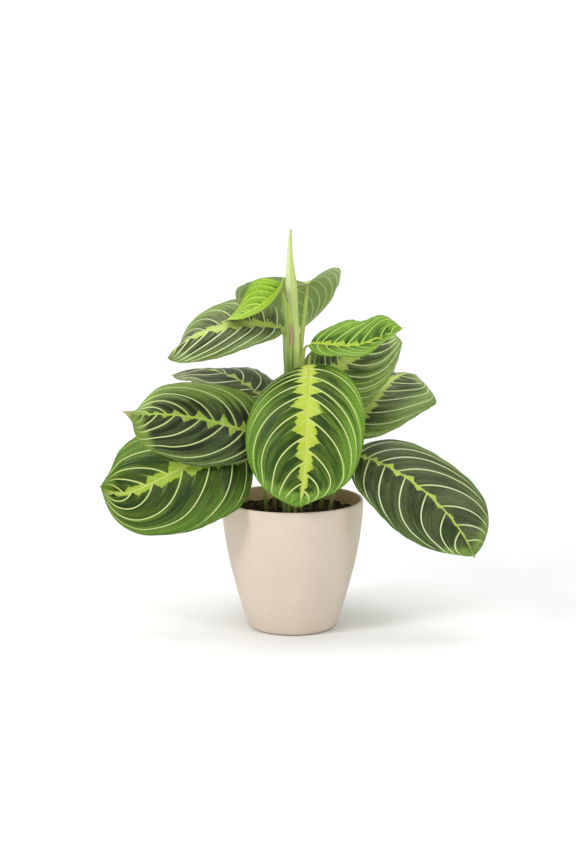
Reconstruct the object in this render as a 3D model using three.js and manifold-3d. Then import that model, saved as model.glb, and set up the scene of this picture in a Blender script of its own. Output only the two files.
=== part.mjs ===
// Potted prayer plant (Maranta): a plain tapered cover pot filled with soil, one upright shoot that
// ends in a rolled new leaf, and leaves on thin stalks that stand in the soil or grow from the shoot.
// Millimetres, +Z up, origin at the centre of the pot's flat base, -Y is the front of the plant.
import * as THREE from 'three';
import Module from 'manifold-3d';

const wasm = await Module();
wasm.setup();

// ---- driving dimensions -------------------------------------------------------------------------
const POT_HEIGHT = 120;
const POT_WALL = 2.4;
const POT_FLOOR = 4;
const POT_FOOT_RADIUS = 36;
// outer wall from the foot to the rim: radius, height
const POT_OUTSIDE = [[POT_FOOT_RADIUS, 0], [39.2, 0.8], [41.4, 2.6], [42.5, 6], [47.6, 22], [52.3, 38.6],
  [56.6, 55], [59.6, 69], [62.4, 85], [64.3, 101], [65, 114], [65, 118.9], [64.5, 119.8]];
const POT_SEGMENTS = 40;

const SOIL_LEVEL = 107;          // mean height of the soil, 13 mm under the rim
const SOIL_LUMP = 1.6;           // how far the crumbs rise and fall
const GAP = 0.3;                 // clearance between touching pieces

const BLADE_THICKNESS = 0.8;
const BLADE_ROWS = 12;           // facets along a leaf
const BLADE_COLUMNS = 8;         // facets across a leaf
const STALK_SIDES = 6;

// Each leaf: `rib` is four points the midrib passes through, from the leaf's base to its tip;
// `heading` is the way it grows, in degrees from +X; `width` is its greatest width. `left` and `right`
// give each half's angle above level at the base and at the tip, and how far it bends down to its
// margin. `full` moves the widest place towards the base (+) or the tip (-), `taper` sharpens the
// tip on each side, `lop` widens one half, `wave` is height, number and phase of the margin's waves.
// `stalk` is the stalk's course with its radius at each point: x, y, z, radius.
const LEAVES = {
  leaf_front: {
    rib: [[14.7, -28, 247.6], [12.9, -51.8, 215], [11.3, -67.6, 168.4], [5.3, -75.1, 127]],
    heading: -91.2, width: 107, left: [24.8, 8, 26.4], right: [1, 14.1, 44],
    full: [0.1, 0], lop: [0.97, 1.08], taper: [1.23, -0.06],
    wave: [1.1, 1.44, 0.06, 0.69],
    stalk: [[8, -8, 90, 2], [8, -6, 140, 1.8], [11, -4, 200, 1.6], [15, -8, 243, 1.5],
      [16, -17, 254, 1.6], [15.2, -24, 252, 1.9]],
  },
  leaf_left_middle: {
    rib: [[-16.8, -30, 179.7], [-63.5, -42.9, 196.8], [-101.8, -52.6, 206.1], [-141.7, -62.3, 208.1]],
    heading: 189.8, width: 86, left: [-49.8, -64.2, 40.4], right: [67.4, 46.8, 31],
    full: [-0.13, 0.13], lop: [0.98, 1.03], taper: [-0.22, 1.1],
    wave: [0.87, 1.47, 0.06, 1.07],
    stalk: [[-6, -16, 90, 2], [-8, -18, 130, 1.8], [-10, -23, 162, 1.6], [-12, -27, 176, 1.7]],
  },
  leaf_left_low: {
    rib: [[-36.8, -23.2, 161.9], [-94.1, -48, 159.1], [-137.2, -47.8, 138.4], [-170.1, -67.1, 144]],
    heading: 197.7, width: 102, left: [-47.1, -64.7, 18], right: [68.7, 71.4, 26],
    full: [0.22, 0.06], lop: [1.09, 0.95], taper: [1.63, 0.57],
    wave: [0.95, 1.93, 0.61, 0.74],
    stalk: [[-22, -12, 90, 2.1], [-25, -15, 125, 1.9], [-29, -19, 151, 1.7], [-32, -22, 160.5, 1.8]],
  },
  leaf_right_low: {
    rib: [[53.4, -34, 166.7], [91.1, -51.5, 156.1], [131.8, -62.3, 125.3], [161.3, -65.9, 81.5]],
    heading: -15.8, width: 89, left: [46, 62.8, 32.1], right: [-44.7, -51.5, 26.1],
    full: [-0.1, 0.05], lop: [0.97, 0.97], taper: [0.3, 0.46],
    wave: [1.4, 1.52, -0.01, 0.9],
    stalk: [[32, -20, 90, 2.1], [36, -22, 125, 1.9], [43, -27, 155, 1.7], [49, -32, 167, 1.8]],
  },
  leaf_right_middle: {
    rib: [[48.6, 0, 177], [72, 29.5, 203.8], [93.6, 57.9, 221.9], [116.4, 84.1, 223]],
    heading: 55.8, width: 96, left: [20.4, 0.6, 27.6], right: [-9.3, -22.3, 9.5],
    full: [-0.25, -0.28], lop: [1.02, 1.01], taper: [0.71, 0.09],
    wave: [1.65, 1.3, -0.19, 0.63],
    stalk: [[24, 4, 90, 2.1], [29, 2, 130, 1.9], [39, 0, 160, 1.7], [46, 0, 174, 1.8]],
  },
  leaf_right_dark: {
    rib: [[26.9, 0, 216.9], [35.5, 15.7, 232.7], [70.8, 24, 258.1], [93.4, 34.6, 267.4]],
    heading: 40, width: 88, left: [28.7, 28.3, 30.9], right: [-14.7, -12, 33],
    full: [-0.04, 0.28], lop: [1.04, 1.09], taper: [1.13, -0.02],
    wave: [2, 1.58, 0.3, 0.49],
    stalk: [[16, 2, 90, 2], [17, 1, 150, 1.8], [20, 0, 190, 1.6], [24, 0, 211, 1.7]],
  },
  leaf_right_small: {
    rib: [[16.1, -12, 264.5], [48, -23.5, 263.9], [66.8, -27.5, 267.2], [97.3, -37.1, 281.6]],
    heading: -15, width: 62, left: [50.9, 45.8, 14.4], right: [-5.7, -2.4, 18.7],
    full: [-0.04, -0.18], lop: [1.02, 0.99], taper: [0.87, 0.78],
    wave: [1.46, 2.14, 0.55, 0.4],
    stalk: [[2, -20, 90, 1.8], [4, -18, 150, 1.6], [7, -13, 220, 1.4], [9, -11, 252, 1.3],
      [12, -11, 262, 1.5]],
  },
  leaf_left_high: {
    rib: [[-8.5, -11.8, 276.6], [-37.4, -23.9, 282.1], [-76.2, -49.9, 280.7], [-110.2, -60.4, 258.5]],
    heading: 199, width: 70, left: [14, -51, 22], right: [75, -25, 9], full: [0.2, 0.2], lop: [1.02, 0.96],
    taper: [0, 1], wave: [1.2, 1.6, 0.6, 0.2],
    stalk: [[-5.5, -2.7, 245, 1.5], [-6, -3, 262, 1.6], [-7, -5, 271, 1.6]],
  },
  leaf_young: {
    rib: [[-10.1, -9.3, 319], [-21.9, -23.3, 304.8], [-39.3, -31.1, 295.3], [-59.1, -41.5, 289.3]],
    heading: 201, width: 42, left: [32, -14, 5.4], right: [83, -2, 19], full: [0.4, 0.4], lop: [0.93, 1.05],
    taper: [1.4, 0.9], wave: [0.6, 1.6, 0, 0.5],
    stalk: [[-8.8, 0.4, 262, 1.4], [-8.8, -0.6, 285, 1.4], [-9.8, -3.4, 308, 1.3]],
  },
  leaf_back_top: {
    rib: [[14.1, 14, 316.1], [3, 59.6, 310.6], [-2.1, 89.7, 303.7], [9.5, 112, 263.5]],
    heading: 107, width: 100, left: [24.5, -23, 9.4], right: [41.4, -30, 6.3], lop: [1.07, 0.93],
    taper: [0.8, 0.64], wave: [1.4, 1.5, 0.3, 0.8],
    stalk: [[5.5, 8.2, 235, 2.2], [6.6, 8.4, 250, 2.5], [8, 9.5, 266, 2.4], [10.5, 11.5, 285, 1.9],
      [13, 13, 308, 1.5]],
  },
  leaf_left_back: {
    rib: [[-28, 10, 208], [-39.4, 26.5, 219.2], [-70.8, 41.4, 232.2], [-111.5, 47.2, 228]],
    heading: 165.9, width: 80, left: [-23.7, -3.1, 18.7], right: [51.1, -21.6, 27],
    full: [0.22, 0.14], lop: [1.03, 0.9], taper: [-0.34, 1.8],
    wave: [2.2, 2.23, 0.6, 0.27],
    stalk: [[-16, 6, 90, 2], [-17, 7, 150, 1.8], [-20, 9, 188, 1.6], [-25, 9.5, 203, 1.7]],
  },
  leaf_rear_low: {
    rib: [[9, 33, 188], [15, 64, 195], [20, 93, 191], [24, 115, 173]],
    heading: 82, width: 78, left: [12, 0, 30], right: [12, 0, 30], taper: [0.35, 0.35],
    wave: [1.5, 1.6, 0.2, 0.6],
    stalk: [[8, 18, 90, 2], [8, 20, 140, 1.8], [7, 25, 172, 1.6], [6, 30, 184, 1.7]],
  },
  leaf_rear_left: {
    rib: [[-28, 24, 181], [-54, 46, 194], [-80, 66, 197], [-106, 80, 188]],
    heading: 144, width: 76, left: [5, 0, 25], right: [20, 10, 25], taper: [0.35, 0.35],
    wave: [1.5, 1.6, 0.5, 0.9],
    stalk: [[-10, 16, 90, 2], [-11, 17, 140, 1.8], [-15, 19, 168, 1.6], [-20, 21, 180, 1.7]],
  },
};

// the upright cane, and beside it the rolled new leaf: x, y, z, radius
const CANE = [[-4, 3, 90, 4.6], [-4, 3, 150, 4.4], [-4, 3, 215, 4.2], [-3.8, 3, 240, 4],
  [-3.7, 3, 267, 4], [-3.6, 3, 284, 3.6], [-3.2, 3, 300, 2.6]];
const ROLLED_LEAF = [[2.6, 3, 200, 3], [3.6, 3, 240, 3], [3.1, 3, 267, 3], [1.3, 3, 293, 3.6],
  [-1, 3, 317, 4.6], [-2.2, 3, 338, 2.6], [-2.3, 3, 353.5, 1.5], [-1.8, 3, 367.5, 0.9]];

// ---- finishes -----------------------------------------------------------------------------------
const finish = (color, roughness) => new THREE.MeshStandardMaterial({ color, roughness, metalness: 0 });
const potFinish = finish('#e0d3c1', 0.6);
const soilFinish = finish('#241a15', 0.95);
const shootFinish = finish('#9fbf55', 0.5);
const leafFinish = finish('#4b7a3a', 0.45);
const youngLeafFinish = finish('#7fb53a', 0.45);

// ---- closed shapes ------------------------------------------------------------------------------
const lerp = THREE.MathUtils.lerp;
const radians = THREE.MathUtils.degToRad;

function closedGeometry(positions, triangles) {
  const geometry = new THREE.BufferGeometry();
  geometry.setAttribute('position', new THREE.Float32BufferAttribute(positions, 3));
  geometry.setIndex(triangles);
  return geometry;
}

// A stalk: rings along a smooth course through the given points, closed at both ends.
// `clearance` makes the same stalk that much fatter and longer at its foot, to bore its hole.
function stalkGeometry(course, sides, stepsPerSpan, clearance = 0) {
  const points = course.map(([x, y, z]) => new THREE.Vector3(x, y, z));
  if (clearance > 0) points[0].z -= clearance;
  const curve = new THREE.CatmullRomCurve3(points, false, 'catmullrom', 0.5);
  const spans = course.length - 1;
  const steps = spans * stepsPerSpan;
  const positions = [];
  for (let i = 0; i <= steps; i += 1) {
    const along = i / steps;
    const centre = curve.getPoint(along);
    const tangent = curve.getTangent(along);
    const sideways = new THREE.Vector3(0, -1, 0).cross(tangent).normalize();
    const outward = tangent.clone().cross(sideways);
    const span = Math.min(Math.floor(along * spans), spans - 1);
    const radius = lerp(course[span][3], course[span + 1][3], along * spans - span) + clearance;
    for (let k = 0; k < sides; k += 1) {
      const turn = (2 * Math.PI * k) / sides;
      const point = centre.clone()
        .addScaledVector(sideways, radius * Math.cos(turn))
        .addScaledVector(outward, radius * Math.sin(turn));
      positions.push(point.x, point.y, point.z);
    }
  }
  const triangles = [];
  for (let i = 0; i < steps; i += 1) {
    for (let k = 0; k < sides; k += 1) {
      const next = (k + 1) % sides;
      const a = i * sides + k;
      const b = i * sides + next;
      triangles.push(a, b, b + sides, a, b + sides, a + sides);
    }
  }
  for (let k = 1; k < sides - 1; k += 1) {
    triangles.push(0, k + 1, k);
    triangles.push(steps * sides, steps * sides + k, steps * sides + k + 1);
  }
  return closedGeometry(positions, triangles);
}

// The midrib: one cubic through its four points.
class Midrib extends THREE.Curve {
  constructor(points) {
    super();
    this.points = points.map(([x, y, z]) => new THREE.Vector3(x, y, z));
  }

  getPoint(u, target = new THREE.Vector3()) {
    const a = u - 1 / 3;
    const b = u - 2 / 3;
    const c = u - 1;
    const weights = [-4.5 * a * b * c, 13.5 * u * b * c, -13.5 * u * a * c, 4.5 * u * a * b];
    target.set(0, 0, 0);
    this.points.forEach((point, k) => target.addScaledVector(point, weights[k]));
    return target;
  }
}

// A point on the middle surface of a leaf: `s` runs from base to tip, `t` from -1 (left margin)
// through 0 (midrib) to 1 (right margin).
function leafPoint(leaf, midrib, s, t) {
  const side = t < 0 ? 0 : 1;
  const heading = radians(leaf.heading);
  const tangent = midrib.getTangentAt(s);
  const across = new THREE.Vector3(Math.sin(heading), -Math.cos(heading), 0);
  across.addScaledVector(tangent, -across.dot(tangent)).normalize();
  const up = across.clone().cross(tangent);
  const sine = 2 * Math.sqrt(Math.max(s * (1 - s), 0));
  const sharp = 0.9 + leaf.taper[side] * THREE.MathUtils.smoothstep(s, 0.75, 1);
  const halfWidth = 0.5 * leaf.width * (leaf.lop ? leaf.lop[side] : 1) * sine ** sharp
    * (1 + (leaf.full ? leaf.full[side] : 0) * (1 - 2 * s));
  const [baseAngle, tipAngle, bend] = side ? leaf.right : leaf.left;
  const angle = radians(lerp(baseAngle, tipAngle, s));
  const curl = radians(bend);
  const out = Math.abs(t);
  const reach = (Math.sin(angle) - Math.sin(angle - curl * out)) / curl;
  const rise = (Math.cos(angle - curl * out) - Math.cos(angle)) / curl;
  const [height, count, leftPhase, rightPhase] = leaf.wave;
  const ripple = height * out * out * sine
    * Math.sin(2 * Math.PI * (count * s + (side ? rightPhase : leftPhase)));
  return midrib.getPointAt(s)
    .addScaledVector(across, Math.sign(t) * reach * halfWidth)
    .addScaledVector(up, rise * halfWidth + ripple);
}

// A blade: the middle surface thickened to both faces, with the same diagonals on each.
function bladeGeometry(leaf) {
  const midrib = new Midrib(leaf.rib);
  const rowStart = 0.035;
  const ring = BLADE_COLUMNS + 1;
  const middle = [];
  const normals = [];
  for (let i = 0; i <= BLADE_ROWS; i += 1) {
    const turn = Math.PI * lerp(rowStart, 1 - rowStart, i / BLADE_ROWS);
    const s = (1 - Math.cos(turn)) / 2;
    for (let j = 0; j <= BLADE_COLUMNS; j += 1) {
      const t = (2 * j) / BLADE_COLUMNS - 1;
      const step = 0.01;
      const along = leafPoint(leaf, midrib, Math.min(s + step, 0.999), t)
        .sub(leafPoint(leaf, midrib, Math.max(s - step, 0.001), t));
      const over = leafPoint(leaf, midrib, s, Math.min(t + 0.1, 1))
        .sub(leafPoint(leaf, midrib, s, Math.max(t - 0.1, -1)));
      middle.push(leafPoint(leaf, midrib, s, t));
      normals.push(over.cross(along).normalize());
    }
  }
  const positions = [];
  for (const face of [0.5, -0.5]) {
    middle.forEach((point, k) => {
      const moved = point.clone().addScaledVector(normals[k], face * BLADE_THICKNESS);
      positions.push(moved.x, moved.y, moved.z);
    });
  }
  const under = middle.length;
  const triangles = [];
  for (let i = 0; i < BLADE_ROWS; i += 1) {
    for (let j = 0; j < BLADE_COLUMNS; j += 1) {
      const a = i * ring + j;
      const b = a + 1;
      const c = a + ring + 1;
      const d = a + ring;
      triangles.push(a, b, c, a, c, d);
      triangles.push(under + a, under + c, under + b, under + a, under + d, under + c);
    }
  }
  const edge = (q, p) => triangles.push(p, p + under, q + under, p, q + under, q);
  for (let i = 0; i < BLADE_ROWS; i += 1) {
    edge(i * ring, (i + 1) * ring);
    edge((i + 1) * ring + BLADE_COLUMNS, i * ring + BLADE_COLUMNS);
  }
  for (let j = 0; j < BLADE_COLUMNS; j += 1) {
    edge(j + 1, j);
    edge(BLADE_ROWS * ring + j, BLADE_ROWS * ring + j + 1);
  }
  return closedGeometry(positions, triangles);
}

// ---- joining and cutting ------------------------------------------------------------------------
function toSolid(geometry) {
  return new wasm.Manifold(new wasm.Mesh({
    numProp: 3,
    vertProperties: new Float32Array(geometry.attributes.position.array),
    triVerts: new Uint32Array(geometry.index.array),
  }));
}

function toMesh(name, solid, material, at = [0, 0, 0]) {
  const data = solid.getMesh();
  const positions = [];
  for (let i = 0; i < data.vertProperties.length; i += data.numProp) {
    positions.push(...data.vertProperties.subarray(i, i + 3));
  }
  const geometry = closedGeometry(positions, Array.from(data.triVerts));
  geometry.translate(-at[0], -at[1], -at[2]);
  geometry.computeVertexNormals();
  const mesh = new THREE.Mesh(geometry, material);
  mesh.name = name;
  mesh.position.set(...at);
  return mesh;
}

// merges the seam and the points on the axis of a turned shape
function turnedSolid(profile, segments) {
  const count = profile.length;
  const positions = [];
  const numbers = [];
  profile.forEach(([radius, height], row) => {
    numbers.push([]);
    for (let k = 0; k < segments; k += 1) {
      if (radius === 0 && k > 0) {
        numbers[row].push(numbers[row][0]);
        continue;
      }
      const turn = (2 * Math.PI * k) / segments;
      numbers[row].push(positions.length / 3);
      positions.push(radius * Math.cos(turn), radius * Math.sin(turn), height);
    }
  });
  const triangles = [];
  for (let row = 0; row < count - 1; row += 1) {
    for (let k = 0; k < segments; k += 1) {
      const next = (k + 1) % segments;
      const a = numbers[row][k];
      const b = numbers[row][next];
      const c = numbers[row + 1][next];
      const d = numbers[row + 1][k];
      if (a !== b) triangles.push(a, b, c);
      if (c !== d) triangles.push(a, c, d);
    }
  }
  return closedGeometry(positions, triangles);
}

// ---- pot and soil -------------------------------------------------------------------------------
// inside of the wall, from the rim down to the floor
const potInside = POT_OUTSIDE.slice(4, -1).reverse()
  .map(([radius, height]) => [radius - POT_WALL, height]);
potInside[0] = [62.9, 119.6];
const INNER_FOOT_RADIUS = 38.6;
const potProfile = [[0, 0], ...POT_OUTSIDE, [63.7, POT_HEIGHT], ...potInside,
  [INNER_FOOT_RADIUS, POT_FLOOR], [0, POT_FLOOR]];
const potSolid = toSolid(turnedSolid(potProfile, POT_SEGMENTS));

// The soil fills the pot from its floor; its top is crumbly and a little higher at the middle.
function soilHeight(x, y) {
  const radius = Math.hypot(x, y);
  const crumbs = Math.sin(x * 0.31 + 1.3) * Math.cos(y * 0.27 - 0.4) + 0.7 * Math.sin(x * 0.13 - y * 0.19);
  return SOIL_LEVEL + SOIL_LUMP * 0.55 * crumbs + 1.2 * (1 - radius / 62);
}

const soilRings = [[0, 0], [12, 1], [24, 2], [36, 3], [48, 4], [57, 5]];
const soilWall = [
  ...potInside.filter(([, height]) => height < SOIL_LEVEL - 3),
  [INNER_FOOT_RADIUS, POT_FLOOR + GAP],
].map(([radius, height]) => [radius - 1.2 * GAP, height]);
soilWall.push([0, POT_FLOOR + GAP]);
const soilGeometry = turnedSolid([...soilRings.map(([radius]) => [radius, SOIL_LEVEL]), ...soilWall]
  .reverse(), 36);
const soilPositions = soilGeometry.attributes.position;
for (let i = 0; i < soilPositions.count; i += 1) {
  if (soilPositions.getZ(i) === SOIL_LEVEL) {
    soilPositions.setZ(i, soilHeight(soilPositions.getX(i), soilPositions.getY(i)));
  }
}
let soilSolid = toSolid(soilGeometry);

// ---- the plant ----------------------------------------------------------------------------------
const shootSolid = toSolid(stalkGeometry(CANE, 8, 2)).add(toSolid(stalkGeometry(ROLLED_LEAF, 8, 2)));
soilSolid = soilSolid.subtract(toSolid(stalkGeometry(CANE, 8, 2, GAP)));

const plant = new THREE.Group();
plant.add(toMesh('main_shoot', shootSolid, shootFinish));
for (const [name, leaf] of Object.entries(LEAVES)) {
  const midrib = new Midrib(leaf.rib);
  const joint = midrib.getPointAt(0.03);
  const inside = midrib.getPointAt(0.09);
  const last = leaf.stalk[leaf.stalk.length - 1][3];
  const course = [...leaf.stalk, [joint.x, joint.y, joint.z, last], [inside.x, inside.y, inside.z, 1]];
  const solid = toSolid(bladeGeometry(leaf)).add(toSolid(stalkGeometry(course, STALK_SIDES, 2)));
  if (leaf.stalk[0][2] < SOIL_LEVEL) {
    soilSolid = soilSolid.subtract(toSolid(stalkGeometry(course, STALK_SIDES, 2, GAP)));
  }
  const material = name === 'leaf_young' ? youngLeafFinish : leafFinish;
  plant.add(toMesh(name, solid, material, leaf.rib[0]));
}

const pottedPlant = new THREE.Group();
pottedPlant.name = 'potted_prayer_plant';
pottedPlant.add(toMesh('pot', potSolid, potFinish));
pottedPlant.add(toMesh('soil', soilSolid, soilFinish));
pottedPlant.add(plant);

export default pottedPlant;
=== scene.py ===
"""A potted prayer plant: a matte plant-fibre pot filled with potting mix, one upright shoot that
ends in a rolled new leaf, and broad patterned leaves on thin stalks. Metres, +Z up, front at -Y."""
import functools
import math

import bpy
import numpy as np
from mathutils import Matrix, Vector, noise


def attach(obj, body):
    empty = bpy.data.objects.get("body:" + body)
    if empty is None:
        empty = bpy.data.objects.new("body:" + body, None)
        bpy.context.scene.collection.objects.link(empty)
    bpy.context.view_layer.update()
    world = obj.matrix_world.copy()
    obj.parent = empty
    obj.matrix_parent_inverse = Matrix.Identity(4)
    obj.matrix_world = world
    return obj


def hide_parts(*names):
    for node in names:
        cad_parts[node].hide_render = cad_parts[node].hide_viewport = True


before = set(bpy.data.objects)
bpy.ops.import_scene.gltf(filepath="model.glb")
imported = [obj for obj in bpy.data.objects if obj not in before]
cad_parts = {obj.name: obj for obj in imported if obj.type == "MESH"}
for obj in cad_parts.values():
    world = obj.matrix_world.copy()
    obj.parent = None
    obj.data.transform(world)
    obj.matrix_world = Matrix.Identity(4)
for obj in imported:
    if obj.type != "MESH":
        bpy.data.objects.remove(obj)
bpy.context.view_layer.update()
bpy.ops.object.select_all(action="DESELECT")


# ---- the view -----------------------------------------------------------------------------------
# A long lens 1.8 m in front of the pot and half a metre up, looking slightly down on it.
bpy.ops.object.camera_add(location=(-0.00415, -1.761, 0.491), rotation=(math.radians(80.04), 0, 0))
view = bpy.context.object
view.name = "front_view"
view.data.sensor_fit = "VERTICAL"
view.data.sensor_height = 36
view.data.lens = 81.4
view.data.clip_end = 20
bpy.context.scene.camera = view
bpy.context.scene.view_settings.view_transform = "Standard"


# ---- floor, backdrop and light ------------------------------------------------------------------
# A sheet of white paper laid flat and curved up behind the plant, lit by large soft lamps.
MM = 0.001


def linear(hex_colour):
    """sRGB hex to the linear values that a shader socket takes."""
    values = []
    for at in (1, 3, 5):
        v = int(hex_colour[at:at + 2], 16) / 255
        values.append(v / 12.92 if v <= 0.04045 else ((v + 0.055) / 1.055) ** 2.4)
    return (*values, 1)


def fill_inputs(node, values):
    """Each input gets another node's result, one of its sockets, a plain value or a hex colour."""
    for name, value in values.items():
        if isinstance(value, bpy.types.Node):
            value = next(socket for socket in value.outputs if socket.enabled)
        if isinstance(value, bpy.types.NodeSocket):
            node.id_data.links.new(value, node.inputs[name])
        else:
            node.inputs[name].default_value = linear(value) if isinstance(value, str) else value


def add_node(tree, kind, values=None, **settings):
    """One node with its settings and inputs. A Mix node mixes two colours, its inputs 6 and 7."""
    node = tree.nodes.new("ShaderNode" + kind)
    if kind == "Mix":
        node.data_type = "RGBA"
    for name, value in settings.items():
        setattr(node, name, value)
    fill_inputs(node, values or {})
    return node


def start_material(name):
    """A new material, add_node for its tree, and its Principled shader at the output."""
    material = bpy.data.materials.new(name)
    material.use_nodes = True
    material.node_tree.nodes.clear()
    add = functools.partial(add_node, material.node_tree)
    shader = add("BsdfPrincipled")
    add("OutputMaterial", {"Surface": shader})
    return material, add, shader


def set_mesh(piece, points):
    """Moves every vertex of a piece to its new place, in millimetres."""
    flat = (np.asarray(points, dtype=np.float64) * MM).astype(np.float32).ravel()
    piece.data.vertices.foreach_set("co", flat)
    piece.data.update()


bpy.ops.mesh.primitive_grid_add(x_subdivisions=2, y_subdivisions=60, size=2)
paper = bpy.context.object
paper.name = "paper_sweep"
length, half_width, front_edge, bend, radius = 6500, 2800, -2600, 3200, 900
sweep = []
for vertex in paper.data.vertices:
    run = (vertex.co.y + 1) / 2 * length
    angle = min(max((run - bend) / radius, 0), math.pi / 2)
    y = front_edge + min(run, bend) + radius * math.sin(angle)
    z = radius * (1 - math.cos(angle)) + max(run - bend - radius * math.pi / 2, 0)
    sweep.append((vertex.co.x * half_width, y, z - 0.2))
set_mesh(paper, sweep)
bpy.ops.object.shade_smooth()
# matt white paper: very fine tooth, hardly any sheen
paper_white, add, shader = start_material("matt_white_paper")
place = add("TexCoord").outputs["Object"]
tooth = add("TexNoise", {"Vector": place, "Scale": 900})
tint = add("MapRange", {"Value": tooth, "To Min": 0.93, "To Max": 0.96})
shade = add("CombineColor", {"Red": tint, "Green": tint, "Blue": tint})
fill_inputs(shader, {"Base Color": shade, "Roughness": 0.95})
paper.data.materials.append(paper_white)

room = bpy.data.worlds.new("white_room")
bpy.context.scene.world = room
room.use_nodes = True
fill_inputs(room.node_tree.nodes["Background"], {"Color": "#FFFFFF", "Strength": 0.41})


def soft_lamp(name, at, aim, size, watts):
    """A square soft box that looks at a point."""
    bpy.ops.object.light_add(type="AREA", location=at)
    lamp = bpy.context.object
    lamp.name = name
    lamp.data.size = size
    lamp.data.energy = watts
    lamp.rotation_euler = (Vector(aim) - Vector(at)).to_track_quat("-Z", "Y").to_euler()


soft_lamp("left_lamp", (-1.35, -1.15, 1.42), (0, 0, 0.2), 0.6, 18.6)
soft_lamp("right_lamp", (1.3, -1.25, 1.5), (0, 0, 0.2), 0.6, 8.8)
soft_lamp("top_lamp", (0, 0.2, 2.1), (0, 0, 0.2), 1.4, 20)
soft_lamp("low_front_lamp", (-0.3, -1.7, 0.12), (0, 0, 0.04), 0.8, 3.8)


# ---- the pot ------------------------------------------------------------------------------------
# A cover pot moulded in one piece from plant-fibre plastic: plain convex wall, thin rounded rim,
# flat foot. Its matte surface shows fine light and dark fibre specks.
def smooth_course(points, per_span):
    """A smooth line through points of any number of values, with even steps in each span."""
    p = np.array(points, dtype=float)
    q = np.vstack([2 * p[0] - p[1], p, 2 * p[-1] - p[-2]])
    out = []
    for i in range(1, len(q) - 2):
        a, b, c, d = q[i - 1:i + 3]
        for t in np.arange(per_span) / per_span:
            out.append(0.5 * (2 * b + (c - a) * t + (2 * a - 5 * b + 4 * c - d) * t * t
                              + (3 * b - a - 3 * c + d) * t ** 3))
    out.append(p[-1])
    return np.array(out)


def turn_piece(name, profile, steps):
    """Spins an open profile of (radius, height) in mm about the upright axis."""
    bpy.ops.mesh.primitive_circle_add(vertices=len(profile), radius=0.01)
    piece = bpy.context.object
    piece.name = name
    set_mesh(piece, [(r, 0, z) for r, z in profile])
    bpy.ops.object.mode_set(mode="EDIT")
    bpy.ops.mesh.select_all(action="DESELECT")
    bpy.ops.object.mode_set(mode="OBJECT")
    last = len(profile) - 1
    for edge in piece.data.edges:                # only the edge that closes the profile goes
        edge.select = set(edge.vertices) == {0, last}
    bpy.ops.object.mode_set(mode="EDIT")
    bpy.ops.mesh.select_mode(type="EDGE")
    bpy.ops.mesh.delete(type="EDGE")
    bpy.ops.mesh.select_all(action="SELECT")
    bpy.ops.mesh.spin(steps=steps, angle=2 * math.pi, center=(0, 0, 0), axis=(0, 0, 1))
    bpy.ops.mesh.select_all(action="SELECT")
    bpy.ops.mesh.remove_doubles(threshold=0.00001)
    bpy.ops.mesh.normals_make_consistent(inside=False)
    bpy.ops.object.mode_set(mode="OBJECT")
    bpy.ops.object.shade_smooth()
    return piece


def carry(piece, slot, *nodes):
    """Every piece belongs to the one body; its finish is not used. It may stand for solid nodes."""
    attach(piece, "root")
    if nodes:
        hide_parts(*nodes)
    piece.select_set(False)


POT_HEIGHT = 120
POT_WALL = 2.4
outside = [(36, 0), (38.2, 0.3), (40.2, 1.4), (41.5, 3.2), (42.5, 6), (44.8, 13), (47.6, 22),
           (52.3, 38.6), (56.6, 55), (59.6, 69), (62.4, 85), (64.3, 101), (65, 114), (65.05, 118.2)]
rim = [(64.9, 119.2), (64.4, 119.85), (63.7, POT_HEIGHT), (63.05, 119.8), (62.65, 119.2)]
inside = [(r - POT_WALL, z) for r, z in outside[:4:-1]] + [(40, 6), (37, 4.1), (20, 4)]
profile = [(0, 0), (18, 0)] + list(smooth_course(outside, 4)) + rim
profile += list(smooth_course(inside, 3)) + [(0, 4)]
pot = turn_piece("moulded_pot", profile, 144)

# Plant-fibre polypropylene, injection moulded: matte, warm beige, specks 0.4 to 1 mm long that
# are drawn a little larger than they are so that they show.
pot_plastic, add, shader = start_material("moulded_plant_fibre_plastic")
place = add("TexCoord").outputs["Object"]
specks = add("TexNoise", {"Vector": place, "Scale": 1500, "Detail": 2, "Roughness": 0.6})
dark_specks = add("MapRange", {"Value": specks, "From Min": 0.6, "From Max": 0.7, "To Max": 0.5})
pale_specks = add("MapRange", {"Value": specks, "From Min": 0.4, "From Max": 0.3, "To Max": 0.45})
cloud = add("TexNoise", {"Vector": place, "Scale": 38, "Detail": 3})
ground = add("Mix", {"Factor": cloud, 6: "#D4C4B2", 7: "#DECFBE"})
darker = add("Mix", {"Factor": dark_specks, 6: ground, 7: "#B59F82"})
paler = add("Mix", {"Factor": pale_specks, 6: darker, 7: "#F3EBDD"})
# inside, above the soil, the wall gets a warm brown painted shade: it stands in for the shadow
# and the warm bounce light in the pot's mouth
where = add("SeparateXYZ", {0: place}).outputs
level = add("CombineXYZ", {"X": where["X"], "Y": where["Y"]})
radius = add("VectorMath", {0: level}, operation="LENGTH")
inner_painted_shade = add("MapRange", {"Value": radius, "From Min": 0.0636, "From Max": 0.0624, "To Max": 0.62})
high = add("MapRange", {"Value": where["Z"], "From Min": 0.1, "From Max": 0.103})
inner_painted_shade = add("Math", {0: inner_painted_shade, 1: high}, operation="MULTIPLY")
with_inner_painted_shade = add("Mix", {"Factor": inner_painted_shade, 6: paler, 7: "#C9976A"})
grain = add("Bump", {"Height": specks, "Strength": 0.25, "Distance": 0.00008})
fill_inputs(shader, {"Base Color": with_inner_painted_shade, "Normal": grain, "Roughness": 0.58, "IOR": 1.5})
pot.data.materials.append(pot_plastic)
carry(pot, "pot", "pot")


# ---- the soil -----------------------------------------------------------------------------------
# Moist dark potting mix, filled to 13 mm under the rim: a crumbly surface with loose lumps and
# shreds of bark on it, and a few paler grains.
SOIL_LEVEL = 107
SOIL_RADIUS = 61.4
CRUMBS = 620


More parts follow.
